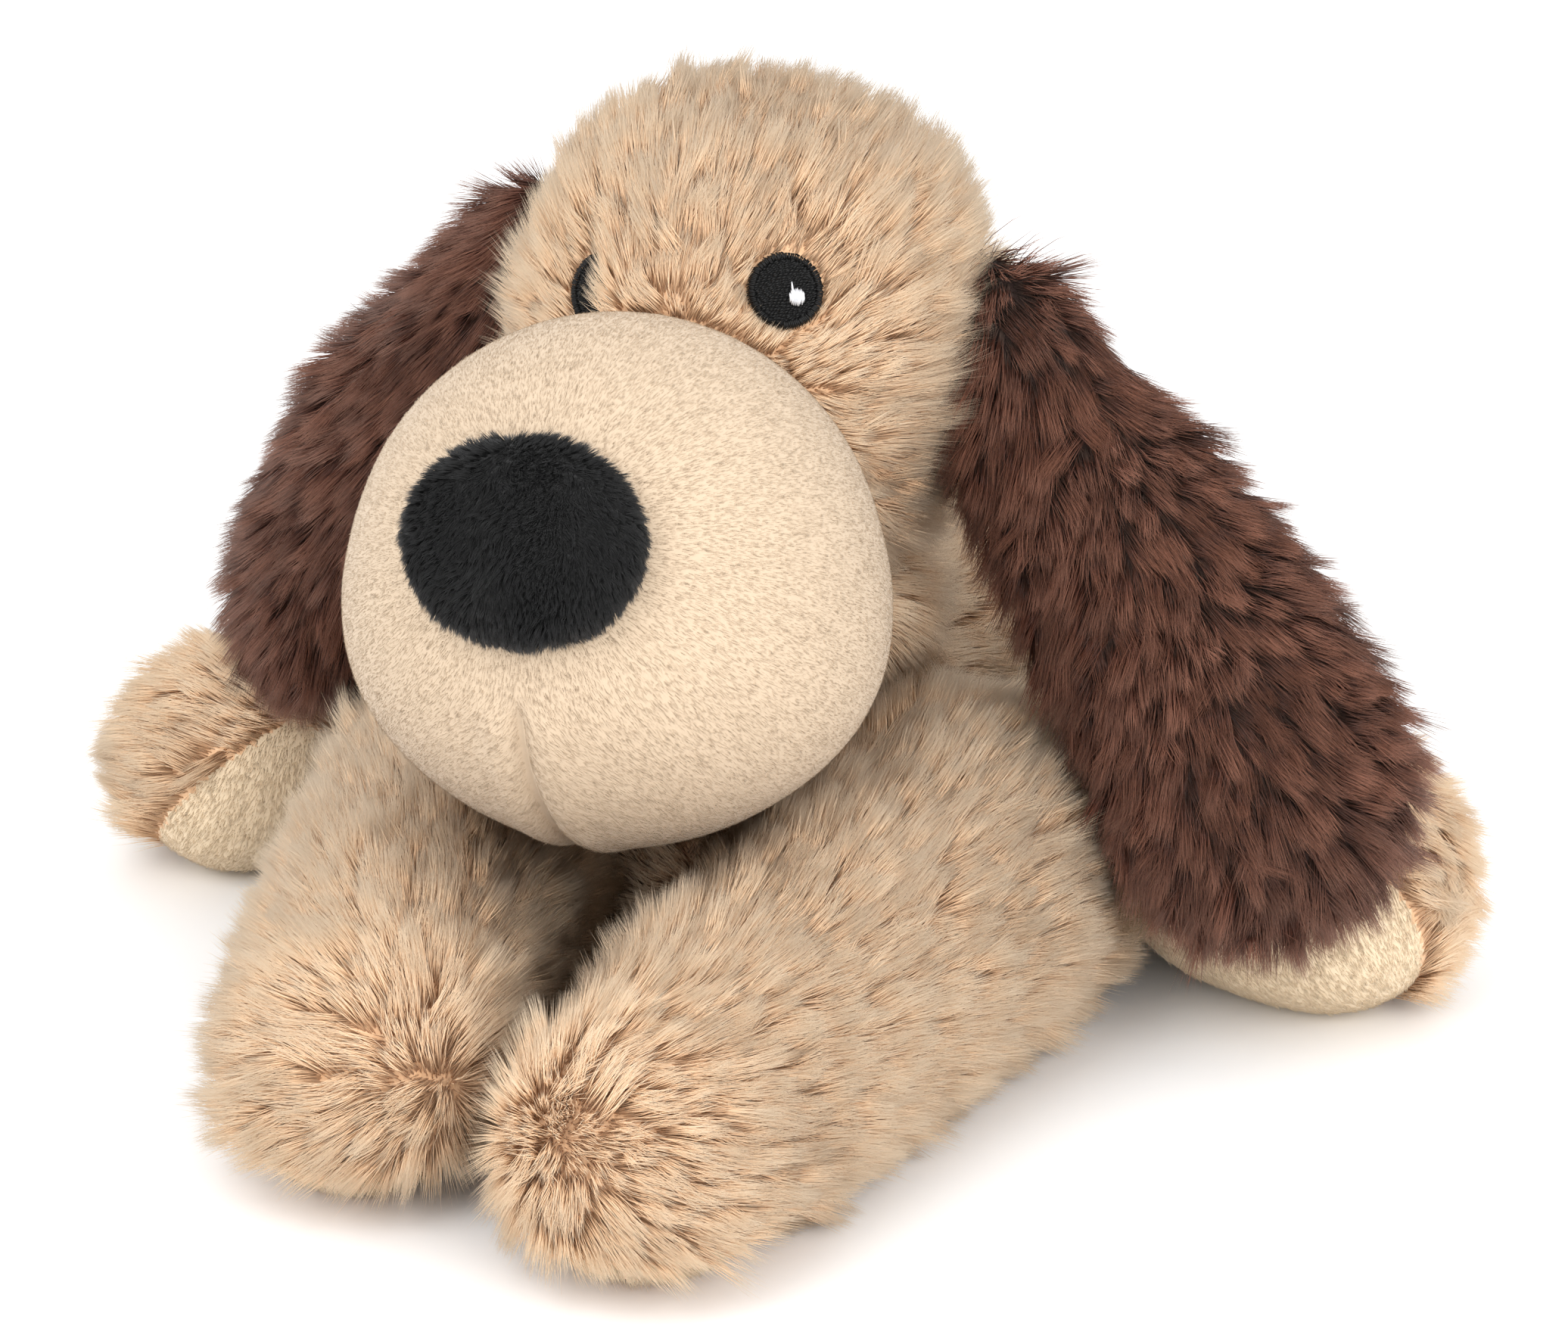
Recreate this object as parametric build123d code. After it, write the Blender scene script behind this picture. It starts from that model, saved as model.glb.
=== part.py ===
from build123d import *
import os
from math import asin, cos, radians, sin

# Floppy plush dog lying on its belly, in millimetres.
# The dog faces -Y and +Z is up. The origin is on the flat belly, on the midline, under the shoulders.
# "left" and "right" are the dog's own, so its left side is at +X.

# Driving dimensions
COVER = 2.5              # sewn cover with the matted part of its pile
GAP = 0.9                # clearance between pieces that move past each other
FLAT = 1.2               # how far a limb is pressed flat where it lies on the floor

HEAD_CENTRE = (0, -18, 150)
HEAD_RADIUS = 51         # half width and half length of the head
HEAD_HEIGHT = 58         # half height of the head
MUZZLE_CENTRE = (0, -98, 120)
MUZZLE_RADIUS = 59
NOSE_TILT = 28           # degrees that the nose looks up from the front of the muzzle
NOSE_HALF = (27, 22, 9)  # half width, half height and half depth of the nose
EYE_DIRECTION = {"left": (24.5, -40, 27), "right": (18, -44, 23)}
EYE_RADIUS = 8.4
EYE_THICKNESS = 1.2
GLINT_SHIFT = (3.2, -1.2, -0.6)
GLINT_RADIUS = 1.8
GLINT_THICKNESS = 0.6

TORSO_FRONT_RADIUS = 46
TORSO_REAR_RADIUS = 53
TORSO_FRONT = (0, -12, 38)
TORSO_REAR = (0, 38, 38)
BELLY_PANEL_HEIGHT = 12
POUCH_RADIUS = 22

SIDES = {"left": 1, "right": -1}
SHOULDER = (60, -34)
SHOULDER_RADIUS = {"left": 37, "right": 34}
PAW_RADIUS = 29
PAW = {"left": (39, -182), "right": (34, -165)}
PAD_HEIGHT = 13
PAD_LENGTH = 46

HIP = (56, 60)
HIP_RADIUS = 30
FOOT_RADIUS = {"left": 31, "right": 27}
FOOT = {"left": (136, -2.5), "right": (131, -17)}
SOLE_DIRECTION = (-0.28, -0.85, -0.4)
SOLE_SETBACK = 7         # from the middle of the foot to the sole seam

EAR_ROOT = {"left": (57, -13, 154), "right": (57, -13, 159)}
EAR_ROOT_RADIUS = 22
EAR_HALF_THICKNESS = 11
EAR_TIP_RADIUS = {"left": 35, "right": 31}
EAR_LENGTH = {"left": 115, "right": 90}
EAR_DIRECTION = {"left": (0.62, -0.245, -0.745), "right": (0.52, -0.11, -0.847)}
EAR_NORMAL = {"left": (0.245, -0.905, 0.42), "right": (0.605, -0.655, 0.457)}

TAIL_ROOT = (0, 99, 62)
TAIL_TIP = (0, 127.5, 80)
TAIL_ROOT_RADIUS = 11
TAIL_TIP_RADIUS = 9

BIG = 1000               # side of the boxes that cut half spaces


def biggest(shape):
    """The largest solid of a shape, which drops slivers left by a cut."""
    return max(shape.solids(), key=lambda solid: solid.volume)


def half_space(origin, normal):
    """A large block that fills the side of a plane that its normal points to."""
    block = Box(BIG, BIG, BIG, align=(Align.CENTER, Align.CENTER, Align.MIN))
    return Plane(origin=origin, z_dir=normal).location * block


def above(height):
    return half_space((0, 0, height), (0, 0, 1))


def ball(centre, radius):
    return Pos(*centre) * Sphere(radius)


def egg(centre, radius, height):
    """An upright ellipsoid, as wide as it is deep."""
    return Pos(*centre) * scale(Sphere(radius), by=(1, 1, height / radius))


def pod_blank(length, first_radius, last_radius):
    """Two spheres on the X axis joined by the cone that touches both."""
    slope = asin((first_radius - last_radius) / length)
    first_mid = radians(135) - slope / 2
    last_mid = radians(45) - slope / 2
    start = Vector(-first_radius, 0)
    first_bow = Vector(first_radius * cos(first_mid), first_radius * sin(first_mid))
    first_touch = Vector(first_radius * sin(slope), first_radius * cos(slope))
    last_touch = Vector(length + last_radius * sin(slope), last_radius * cos(slope))
    last_bow = Vector(length + last_radius * cos(last_mid), last_radius * sin(last_mid))
    finish = Vector(length + last_radius, 0)
    edges = ThreePointArc(start, first_bow, first_touch)
    edges += Line(first_touch, last_touch)
    edges += ThreePointArc(last_touch, last_bow, finish)
    edges += Line(finish, start)
    return revolve(make_face(edges), Axis.X, 360)


def pod(first, first_radius, last, last_radius):
    """A plump tube from one point to another, rounded at both ends."""
    along = Vector(*last) - Vector(*first)
    blank = pod_blank(along.length, first_radius, last_radius)
    return Plane(origin=first, x_dir=along, z_dir=along.cross(Vector(0, 1, 0.01))).location * blank


def save(node, shape):
    solid = biggest(shape)
    solid.label = node
    export_step(solid, f"parts/{node}.step")


# Muzzle, nose and eyes
def muzzle():
    """Two velour halves that meet in the chin seam, over one ball of stuffing."""
    inner = ball(MUZZLE_CENTRE, MUZZLE_RADIUS - COVER)
    shell = ball(MUZZLE_CENTRE, MUZZLE_RADIUS) - inner
    save("muzzle_left_panel", shell & half_space((0, 0, 0), (1, 0, 0)))
    save("muzzle_right_panel", shell & half_space((0, 0, 0), (-1, 0, 0)))
    save("muzzle_stuffing", inner)


def nose():
    """A padded oval on the upper front of the muzzle, with its own small wad of stuffing."""
    tilt = radians(NOSE_TILT)
    outward = Vector(0, -cos(tilt), sin(tilt))
    centre = Vector(*MUZZLE_CENTRE) + outward * MUZZLE_RADIUS
    place = Plane(origin=centre, x_dir=(1, 0, 0), z_dir=outward).location
    lining = tuple(half - COVER for half in NOSE_HALF)
    outer = place * scale(Sphere(1), by=NOSE_HALF)
    inner = place * scale(Sphere(1), by=lining)
    outer -= ball(MUZZLE_CENTRE, MUZZLE_RADIUS)
    inner -= ball(MUZZLE_CENTRE, MUZZLE_RADIUS)
    save("nose_cover", outer - inner)
    save("nose_stuffing", inner)


def eye(side, sign):
    """An embroidered oval on the head cover, with a small glint stitched on top."""
    outward = Vector(*EYE_DIRECTION[side])
    outward.X *= sign
    centre = Vector(*HEAD_CENTRE) + outward
    patch = egg(HEAD_CENTRE, HEAD_RADIUS + EYE_THICKNESS, HEAD_HEIGHT + EYE_THICKNESS)
    patch -= egg(HEAD_CENTRE, HEAD_RADIUS, HEAD_HEIGHT)
    patch &= Plane(origin=centre, z_dir=outward).location * Cylinder(EYE_RADIUS, 20)
    patch -= ball(MUZZLE_CENTRE, MUZZLE_RADIUS)
    save(f"eye_{side}", patch)
    raised = EYE_THICKNESS + GLINT_THICKNESS
    glint = egg(HEAD_CENTRE, HEAD_RADIUS + raised, HEAD_HEIGHT + raised)
    glint -= egg(HEAD_CENTRE, HEAD_RADIUS + EYE_THICKNESS, HEAD_HEIGHT + EYE_THICKNESS)
    spot = centre + Vector(*GLINT_SHIFT)
    glint &= Plane(origin=spot, z_dir=outward).location * Cylinder(GLINT_RADIUS, 20)
    save(f"eye_glint_{side}", glint)


# Head and ears
def head():
    """Two fur halves over the stuffing, cut away where the muzzle ball is sewn in."""
    inner = egg(HEAD_CENTRE, HEAD_RADIUS - COVER, HEAD_HEIGHT - COVER)
    inner -= ball(MUZZLE_CENTRE, MUZZLE_RADIUS)
    save("head_stuffing", inner)
    outer = egg(HEAD_CENTRE, HEAD_RADIUS, HEAD_HEIGHT)
    outer -= ball(MUZZLE_CENTRE, MUZZLE_RADIUS)
    shell = outer - inner
    save("head_left_panel", shell & half_space((0, 0, 0), (1, 0, 0)))
    save("head_right_panel", shell & half_space((0, 0, 0), (-1, 0, 0)))


def ear(side, sign):
    """A flat padded flap: a front panel and a back panel round a thin filling."""
    direction = Vector(*EAR_DIRECTION[side])
    normal = Vector(*EAR_NORMAL[side])
    root = Vector(*EAR_ROOT[side])
    root.X *= sign
    direction.X *= sign
    normal.X *= sign
    tip_radius = EAR_TIP_RADIUS[side]
    place = Plane(origin=root, x_dir=direction, z_dir=normal).location
    inner_half = EAR_HALF_THICKNESS - COVER
    outer = pod_blank(EAR_LENGTH[side], EAR_ROOT_RADIUS, tip_radius)
    inner = pod_blank(EAR_LENGTH[side], EAR_ROOT_RADIUS - COVER, tip_radius - COVER)
    outer = place * scale(outer, by=(1, 1, EAR_HALF_THICKNESS / tip_radius))
    inner = place * scale(inner, by=(1, 1, inner_half / (tip_radius - COVER)))
    head_room = egg(HEAD_CENTRE, HEAD_RADIUS + GAP, HEAD_HEIGHT + GAP)
    shell = outer - inner - head_room
    save(f"ear_{side}_front_panel", shell & half_space(root, normal))
    save(f"ear_{side}_back_panel", shell & half_space(root, -normal))
    save(f"ear_{side}_filling", inner - head_room)


# Forms of the four legs, at their full size or grown by a margin
def foreleg_form(side, sign, margin):
    radius = SHOULDER_RADIUS[side]
    shoulder = (sign * SHOULDER[0], SHOULDER[1], radius - FLAT)
    paw = (sign * PAW[side][0], PAW[side][1], PAW_RADIUS - FLAT)
    return pod(shoulder, radius + margin, paw, PAW_RADIUS + margin)


def hind_leg_form(side, sign, margin):
    hip = (sign * HIP[0], HIP[1], HIP_RADIUS - FLAT)
    radius = FOOT_RADIUS[side]
    foot = (sign * FOOT[side][0], FOOT[side][1], radius - FLAT)
    return pod(hip, HIP_RADIUS + margin, foot, radius + margin)


# Torso and tail
def torso():
    """Left and right fur panels, a belly panel, stuffing and a weighting pouch inside it."""
    outer = pod(TORSO_FRONT, TORSO_FRONT_RADIUS, TORSO_REAR, TORSO_REAR_RADIUS) & above(0)
    inner = pod(TORSO_FRONT, TORSO_FRONT_RADIUS - COVER, TORSO_REAR, TORSO_REAR_RADIUS - COVER)
    inner &= above(COVER)
    for side, sign in SIDES.items():
        outer -= foreleg_form(side, sign, GAP)
        outer -= hind_leg_form(side, sign, GAP)
        inner -= foreleg_form(side, sign, GAP + COVER)
        inner -= hind_leg_form(side, sign, GAP + COVER)
    shell = outer - inner
    flanks = shell & above(BELLY_PANEL_HEIGHT)
    save("body_left_panel", flanks & half_space((0, 0, 0), (1, 0, 0)))
    save("body_right_panel", flanks & half_space((0, 0, 0), (-1, 0, 0)))
    save("belly_panel", shell - above(BELLY_PANEL_HEIGHT))
    middle = (0, (TORSO_FRONT[1] + TORSO_REAR[1]) / 2, TORSO_FRONT[2])
    pouch = ball(middle, POUCH_RADIUS)
    save("body_stuffing", inner - pouch)
    save("weighting_pouch", pouch)


def tail():
    outer = pod(TAIL_ROOT, TAIL_ROOT_RADIUS, TAIL_TIP, TAIL_TIP_RADIUS)
    inner = pod(TAIL_ROOT, TAIL_ROOT_RADIUS - COVER, TAIL_TIP, TAIL_TIP_RADIUS - COVER)
    save("tail_cover", outer - inner)
    save("tail_stuffing", inner)


# Legs
def foreleg(side, sign):
    """A fur tube from the shoulder to the paw, with a velour pad under the paw."""
    outer = foreleg_form(side, sign, 0) & above(0)
    inner = foreleg_form(side, sign, -COVER) & above(COVER)
    shell = outer - inner
    pad_zone = half_space((0, PAW[side][1] + PAD_LENGTH - PAW_RADIUS, 0), (0, -1, 0))
    pad_zone -= above(PAD_HEIGHT)
    save(f"foreleg_{side}_cover", shell - pad_zone)
    save(f"foreleg_{side}_paw_pad", shell & pad_zone)
    save(f"foreleg_{side}_stuffing", inner)


def hind_leg(side, sign):
    """A fur leg that lies out to the side, with a velour sole that looks forward."""
    outer = hind_leg_form(side, sign, 0) & above(0)
    inner = hind_leg_form(side, sign, -COVER) & above(COVER)
    shell = outer - inner
    foot = Vector(sign * FOOT[side][0], FOOT[side][1], FOOT_RADIUS[side] - FLAT)
    facing = Vector(*SOLE_DIRECTION)
    facing.X *= sign
    facing = facing.normalized()
    sole_zone = half_space(foot + facing * SOLE_SETBACK, facing)
    save(f"hind_leg_{side}_cover", shell - sole_zone)
    save(f"hind_leg_{side}_sole", shell & sole_zone)
    save(f"hind_leg_{side}_stuffing", inner)


def main():
    os.makedirs("parts", exist_ok=True)
    muzzle()
    nose()
    head()
    torso()
    tail()
    for side, sign in SIDES.items():
        eye(side, sign)
        ear(side, sign)
        foreleg(side, sign)
        hind_leg(side, sign)


main()
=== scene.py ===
import math

import bmesh
import bpy
import numpy as np
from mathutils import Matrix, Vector, kdtree
from mathutils.bvhtree import BVHTree


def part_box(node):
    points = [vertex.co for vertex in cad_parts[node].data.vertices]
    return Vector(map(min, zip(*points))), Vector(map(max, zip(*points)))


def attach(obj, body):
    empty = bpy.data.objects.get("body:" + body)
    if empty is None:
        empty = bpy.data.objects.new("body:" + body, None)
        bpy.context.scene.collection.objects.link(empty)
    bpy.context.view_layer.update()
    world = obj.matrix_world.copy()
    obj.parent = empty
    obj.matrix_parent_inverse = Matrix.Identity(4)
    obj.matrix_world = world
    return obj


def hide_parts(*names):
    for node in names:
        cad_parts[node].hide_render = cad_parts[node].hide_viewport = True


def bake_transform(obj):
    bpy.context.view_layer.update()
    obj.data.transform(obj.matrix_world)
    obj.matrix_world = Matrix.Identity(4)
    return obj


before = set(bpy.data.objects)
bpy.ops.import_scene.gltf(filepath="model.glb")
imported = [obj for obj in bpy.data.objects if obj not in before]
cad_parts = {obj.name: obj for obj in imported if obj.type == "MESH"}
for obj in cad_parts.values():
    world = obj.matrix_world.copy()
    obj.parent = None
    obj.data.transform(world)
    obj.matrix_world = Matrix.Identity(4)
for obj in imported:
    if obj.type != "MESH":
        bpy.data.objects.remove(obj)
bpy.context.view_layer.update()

MM = 0.001
SIDES = {"left": 1, "right": -1}
COVER = 2.5 * MM
FLOOR_GAP = 0.3 * MM


# ---------------------------------------------------------------- small helpers
def unit(vectors):
    """Rows of an array scaled to length one."""
    length = np.linalg.norm(vectors, axis=1, keepdims=True)
    return vectors / np.maximum(length, 1e-12)


def tangent(flow, normals):
    """The part of each flow vector that lies in the surface, at length one."""
    return unit(flow - normals * np.sum(flow * normals, axis=1, keepdims=True))


def smooth_step(values, low, high):
    t = np.clip((values - low) / (high - low), 0, 1)
    return t * t * (3 - 2 * t)


def waves(points, scale, seed):
    """Smooth noise from -1 to 1 at points, made of a few sine waves of about that wavelength."""
    rng = np.random.default_rng(seed)
    total = np.zeros(len(points))
    for _ in range(6):
        way = rng.normal(size=3)
        way /= np.linalg.norm(way)
        size = scale * rng.uniform(0.7, 1.5)
        total += np.sin(points @ way * (2 * math.pi / size) + rng.uniform(0, 2 * math.pi))
    return total / 3.2


def box_of(*nodes):
    """Lowest corner, highest corner and centre of some CAD nodes, as arrays."""
    corners = [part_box(node) for node in nodes]
    low = np.min([np.array(c[0]) for c in corners], axis=0)
    high = np.max([np.array(c[1]) for c in corners], axis=0)
    return low, high, (low + high) / 2


def link(name, mesh):
    thing = bpy.data.objects.new(name, mesh)
    bpy.context.collection.objects.link(thing)
    return thing


def coordinates(mesh):
    flat = np.empty(len(mesh.vertices) * 3)
    mesh.vertices.foreach_get("co", flat)
    return flat.reshape(-1, 3)


def set_coordinates(mesh, points):
    mesh.vertices.foreach_set("co", np.ascontiguousarray(points, dtype=np.float64).ravel())
    mesh.update()


def normals_of(mesh):
    flat = np.empty(len(mesh.vertices) * 3)
    mesh.vertices.foreach_get("normal", flat)
    return flat.reshape(-1, 3)


def applied(thing):
    """Replaces an object's mesh by the result of its modifiers."""
    graph = bpy.context.evaluated_depsgraph_get()
    result = bpy.data.meshes.new_from_object(thing.evaluated_get(graph))
    thing.modifiers.clear()
    old = thing.data
    thing.data = result
    bpy.data.meshes.remove(old)
    return thing


# ---------------------------------------------------------------- key places, from the CAD
MUZZLE_LOW, MUZZLE_HIGH, MUZZLE = box_of("muzzle_stuffing")
MUZZLE_RADIUS = (MUZZLE_HIGH[0] - MUZZLE_LOW[0]) / 2 + COVER
HEAD_LOW, HEAD_HIGH, _ = box_of("head_left_panel", "head_right_panel")
HEAD_RADIUS = HEAD_HIGH[0]
HEAD_HEIGHT = 58 * MM
HEAD = np.array((0, HEAD_HIGH[1] - HEAD_RADIUS, HEAD_HIGH[2] - HEAD_HEIGHT))
NOSE = box_of("nose_cover")[2]
EYES = {side: box_of(f"eye_{side}")[2] for side in SIDES}


# ---------------------------------------------------------------- materials
def new_material(name):
    material = bpy.data.materials.new(name)
    material.use_nodes = True
    nodes = material.node_tree.nodes
    return material, nodes, material.node_tree.links, nodes["Principled BSDF"]


def ramp(nodes, stops):
    node = nodes.new("ShaderNodeValToRGB")
    elements = node.color_ramp.elements
    while len(elements) < len(stops):
        elements.new(0.5)
    for element, (place, colour) in zip(elements, stops):
        element.position = place
        element.color = (*colour, 1)
    return node


def srgb(red, green, blue):
    """A colour from 0 to 255 in each channel, made linear."""
    return tuple(((c / 255 + 0.055) / 1.055) ** 2.4 for c in (red, green, blue))


def pile_material(name, stops, shades, roughness, sheen, sheen_tint, gloss=0.3):
    """Pile fibres: coloured from root to tip along v, darker at the root as painted shade deep in the pile, and light
    or dark by tuft along u.
    """
    material, nodes, links, shader = new_material(name)
    place = nodes.new("ShaderNodeUVMap")
    place.uv_map = "OFBake"
    split = nodes.new("ShaderNodeSeparateXYZ")
    along = ramp(nodes, stops)
    shade = ramp(nodes, shades)
    mix = nodes.new("ShaderNodeMix")
    mix.data_type = "RGBA"
    mix.blend_type = "MULTIPLY"
    mix.inputs["Factor"].default_value = 1
    links.new(place.outputs["UV"], split.inputs["Vector"])
    links.new(split.outputs["Y"], along.inputs["Fac"])
    links.new(split.outputs["X"], shade.inputs["Fac"])
    links.new(along.outputs["Color"], mix.inputs["A"])
    links.new(shade.outputs["Color"], mix.inputs["B"])
    links.new(mix.outputs["Result"], shader.inputs["Base Color"])
    shader.inputs["Roughness"].default_value = roughness
    shader.inputs["Specular IOR Level"].default_value = gloss
    shader.inputs["Sheen Weight"].default_value = sheen
    shader.inputs["Sheen Roughness"].default_value = 0.4
    shader.inputs["Sheen Tint"].default_value = (*sheen_tint, 1)
    return material


def cloth_material(name, dark, light, grain, bump):
    """Backing cloth or short nap: two tones in fine noise, with a knitted bump."""
    material, nodes, links, shader = new_material(name)
    place = nodes.new("ShaderNodeTexCoord")
    noise = nodes.new("ShaderNodeTexNoise")
    noise.inputs["Scale"].default_value = grain
    noise.inputs["Detail"].default_value = 4
    tone = ramp(nodes, [(0.3, dark), (0.7, light)])
    knit = nodes.new("ShaderNodeTexVoronoi")
    knit.inputs["Scale"].default_value = grain * 3
    lift = nodes.new("ShaderNodeBump")
    lift.inputs["Strength"].default_value = bump
    lift.inputs["Distance"].default_value = 0.4 * MM
    links.new(place.outputs["Object"], noise.inputs["Vector"])
    links.new(place.outputs["Object"], knit.inputs["Vector"])
    links.new(noise.outputs["Fac"], tone.inputs["Fac"])
    links.new(tone.outputs["Color"], shader.inputs["Base Color"])
    links.new(knit.outputs["Distance"], lift.inputs["Height"])
    links.new(lift.outputs["Normal"], shader.inputs["Normal"])
    shader.inputs["Roughness"].default_value = 0.9
    shader.inputs["Sheen Weight"].default_value = 0.2
    return material


def thread_material(name, dark, light, roughness):
    """Embroidery thread: glossy twisted strands."""
    material, nodes, links, shader = new_material(name)
    place = nodes.new("ShaderNodeTexCoord")
    twist = nodes.new("ShaderNodeTexNoise")
    twist.inputs["Scale"].default_value = 2500
    twist.inputs["Detail"].default_value = 2
    tone = ramp(nodes, [(0.35, dark), (0.65, light)])
    links.new(place.outputs["Object"], twist.inputs["Vector"])
    links.new(twist.outputs["Fac"], tone.inputs["Fac"])
    links.new(tone.outputs["Color"], shader.inputs["Base Color"])
    shader.inputs["Roughness"].default_value = roughness
    shader.inputs["Specular IOR Level"].default_value = 0.3
    return material


# In each pile below the roots are darker than the tips: painted shade for the depth of the pile.
TAN_PILE = pile_material(
    "tan_pile",
    [(0.0, srgb(224, 185, 148)), (0.45, srgb(240, 207, 171)), (1.0, srgb(252, 230, 201))],
    [(0.0, (0.88, 0.85, 0.82)), (0.5, (0.98, 0.975, 0.97)), (1.0, (1.02, 1.03, 1.04))],
    0.6, 0.1, (1, 0.9, 0.78))
BROWN_PILE = pile_material(
    "brown_pile",
    [(0.0, srgb(40, 20, 13)), (0.45, srgb(84, 48, 35)), (1.0, srgb(166, 118, 97))],
    [(0.0, (0.55, 0.5, 0.48)), (0.5, (0.9, 0.86, 0.84)), (1.0, (1.3, 1.26, 1.24))],
    0.42, 0.12, (1, 0.72, 0.6))
# Two copies of the one cream velour: the muzzle's nap and backing are darker, the soles' and paw pads' brighter; the
# difference is painted light that makes up for the shade low on the feet.
CREAM_NAP = pile_material(
    "cream_nap",
    [(0.0, srgb(194, 173, 148)), (0.5, srgb(197, 176, 151)), (1.0, srgb(200, 179, 154))],
    [(0.0, (0.97, 0.96, 0.94)), (0.5, (0.99, 0.985, 0.98)), (1.0, (1.01, 1.01, 1.01))],
    0.85, 0.1, (1, 0.97, 0.9), 0.1)
SOLE_NAP_PAINTED_LIGHT = pile_material(
    "sole_nap_painted_light",
    [(0.0, srgb(224, 203, 172)), (0.5, srgb(230, 209, 179)), (1.0, srgb(234, 215, 186))],
    [(0.0, (0.95, 0.93, 0.9)), (0.5, (0.99, 0.985, 0.98)), (1.0, (1.01, 1.01, 1.01))],
    0.85, 0.1, (1, 0.97, 0.9), 0.1)
BLACK_NAP = pile_material(
    "black_nap",
    [(0.0, srgb(6, 6, 6)), (0.5, srgb(22, 22, 22)), (1.0, srgb(44, 44, 45))],
    [(0.0, (0.6, 0.6, 0.6)), (0.5, (0.9, 0.9, 0.9)), (1.0, (1.3, 1.3, 1.3))],
    0.55, 0.08, (1, 1, 1))
# The backings take the darker root tones of their piles: painted shade for the depth under the fibres.
TAN_BACKING = cloth_material("tan_backing", srgb(214, 172, 132), srgb(230, 192, 154), 300, 0.6)
BROWN_BACKING = cloth_material("brown_backing", srgb(34, 17, 11), srgb(50, 26, 18), 300, 0.6)
CREAM_BACKING = cloth_material("cream_backing", srgb(193, 172, 147), srgb(198, 177, 152), 700, 0.1)
SOLE_BACKING_PAINTED_LIGHT = cloth_material("sole_backing_painted_light", srgb(224, 203, 172), srgb(230, 209, 179), 700, 0.15)
BLACK_BACKING = cloth_material("black_backing", srgb(5, 5, 6), srgb(10, 10, 11), 400, 0.5)
BLACK_THREAD = thread_material("black_thread", srgb(3, 3, 4), srgb(12, 12, 13), 0.5)
WHITE_THREAD = thread_material("white_thread", srgb(196, 198, 204), srgb(222, 223, 226), 0.5)


# ---------------------------------------------------------------- padded forms
def stuffed_form(name, nodes, voxel, hollow=None):
    """A new mesh from the stuffing solids of a part, remeshed to even quads."""
    shape = bmesh.new()
    for node in nodes:
        shape.from_mesh(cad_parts[node].data)
    if hollow is not None:
        centre, radius = hollow
        inner = [v for v in shape.verts if (v.co - Vector(centre)).length < radius + 1 * MM]
        bmesh.ops.delete(shape, geom=inner, context="VERTS")
    mesh = bpy.data.meshes.new(name)
    shape.to_mesh(mesh)
    shape.free()
    thing = link(name, mesh)
    remesh = thing.modifiers.new("even", "REMESH")
    remesh.mode = "VOXEL"
    remesh.voxel_size = voxel
    return applied(thing)


def inflate(forms, cap):
    """Cloth under pressure fills each form out; no point moves further than cap. Gives each mean growth."""
    scene = bpy.context.scene
    rests = {}
    growth = {}
    for thing in forms:
        rests[thing.name] = coordinates(thing.data)
        cloth = thing.modifiers.new("cloth", "CLOTH")
        cloth.settings.use_pressure = True
        cloth.settings.uniform_pressure_force = 4
        cloth.settings.effector_weights.gravity = 0
        cloth.point_cache.frame_start = 1
        cloth.point_cache.frame_end = 20
    for step in range(1, 21):
        scene.frame_set(step)
    graph = bpy.context.evaluated_depsgraph_get()
    for thing in forms:
        swollen = coordinates(thing.evaluated_get(graph).data)
        rest = rests[thing.name]
        move = swollen - rest
        move -= move.mean(axis=0)
        length = np.linalg.norm(move, axis=1, keepdims=True)
        move *= np.minimum(1, cap / np.maximum(length, 1e-9))
        thing.modifiers.clear()
        growth[thing.name] = float(np.sum(move * normals_of(thing.data), axis=1).mean())
        set_coordinates(thing.data, rest + move)
    scene.frame_set(1)
    return growth


def finish_form(thing, material, relax=6):
    """Relaxes the remeshed surface, subdivides it once and gives it its material."""
    relaxing = thing.modifiers.new("relax", "SMOOTH")
    relaxing.factor = 0.5
    relaxing.iterations = relax
    finer = thing.modifiers.new("finer", "SUBSURF")
    finer.levels = 1
    finer.render_levels = 1
    applied(thing)
    points = coordinates(thing.data)
    points[:, 2] = np.maximum(points[:, 2], FLOOR_GAP)
    set_coordinates(thing.data, points)
    thing.data.materials.clear()
    thing.data.materials.append(material)
    thing.data.polygons.foreach_set("use_smooth", np.ones(len(thing.data.polygons), dtype=bool))
    return thing


# ---------------------------------------------------------------- pile
def sample(thing, density, rng):
    """Random points and normals over a mesh, so many per square millimetre."""
    mesh = thing.data
    mesh.calc_loop_triangles()
    count = len(mesh.loop_triangles)
    corners = np.empty(count * 3, dtype=np.int64)
    mesh.loop_triangles.foreach_get("vertices", corners)
    corners = corners.reshape(-1, 3)
    points = coordinates(mesh)
    normals = normals_of(mesh)
    a, b, c = (points[corners[:, k]] for k in range(3))
    area = np.linalg.norm(np.cross(b - a, c - a), axis=1) / 2
    total = int(area.sum() / MM ** 2 * density)
    chosen = rng.choice(count, total, p=area / area.sum())
    u, v = rng.random(total), rng.random(total)
    flip = u + v > 1
    u[flip], v[flip] = 1 - u[flip], 1 - v[flip]
    w = 1 - u - v
    parts = corners[chosen]
    roots = points[parts[:, 0]] * w[:, None] + points[parts[:, 1]] * u[:, None] + points[parts[:, 2]] * v[:, None]
    facing = normals[parts[:, 0]] * w[:, None] + normals[parts[:, 1]] * u[:, None] + normals[parts[:, 2]] * v[:, None]
    return roots, unit(facing)


def tree_of(thing):
    graph = bpy.context.evaluated_depsgraph_get()
    points = coordinates(thing.data)
    return BVHTree.FromObject(thing, graph), points.min(axis=0), points.max(axis=0)


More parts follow.
